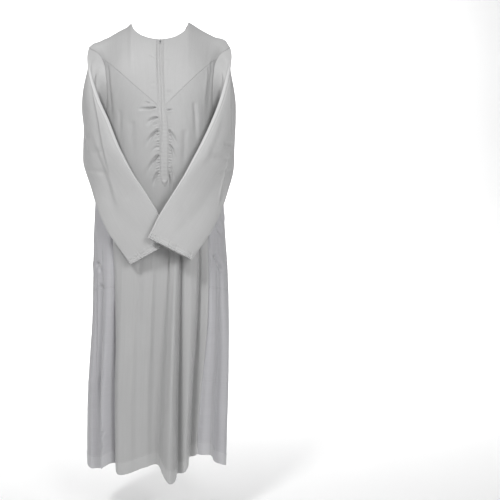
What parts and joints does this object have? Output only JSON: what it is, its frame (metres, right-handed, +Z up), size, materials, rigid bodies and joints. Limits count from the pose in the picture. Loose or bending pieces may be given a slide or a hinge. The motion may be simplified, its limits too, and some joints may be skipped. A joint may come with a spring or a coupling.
{
  "type": "thobe robe",
  "caption": "Collarless ankle-length robe in its worn shape, with a V-shaped chest yoke, a long front fly with gathers beside it, side gores, and long sleeves crossed over the front.",
  "frame": {"origin": "middle between the two side points of the neck opening, where the wearer's shoulders carry the robe (mount wearer_shoulders)", "axes": "+Z up along the wearer's height, -Y the way the wearer faces, +X the wearer's left"},
  "size_m": [0.4902, 0.337, 1.4327],
  "materials": {
    "main_cloth": "pale grey satin-faced suiting",
    "yoke_cloth": "the same cloth, on the yoke and fly",
    "pocket_cloth": "matt cotton pocketing"
  },
  "bodies": {
    "root": {"front": "main_cloth", "back": "main_cloth", "gore_front_left": "main_cloth", "gore_front_right": "main_cloth", "gore_back_left": "main_cloth", "gore_back_right": "main_cloth", "sleeve_left": "main_cloth", "sleeve_right": "main_cloth", "yoke_left": "yoke_cloth", "yoke_right": "yoke_cloth", "fly": "yoke_cloth", "pocket_left": "pocket_cloth", "pocket_right": "pocket_cloth"}
  },
  "joints": []
}
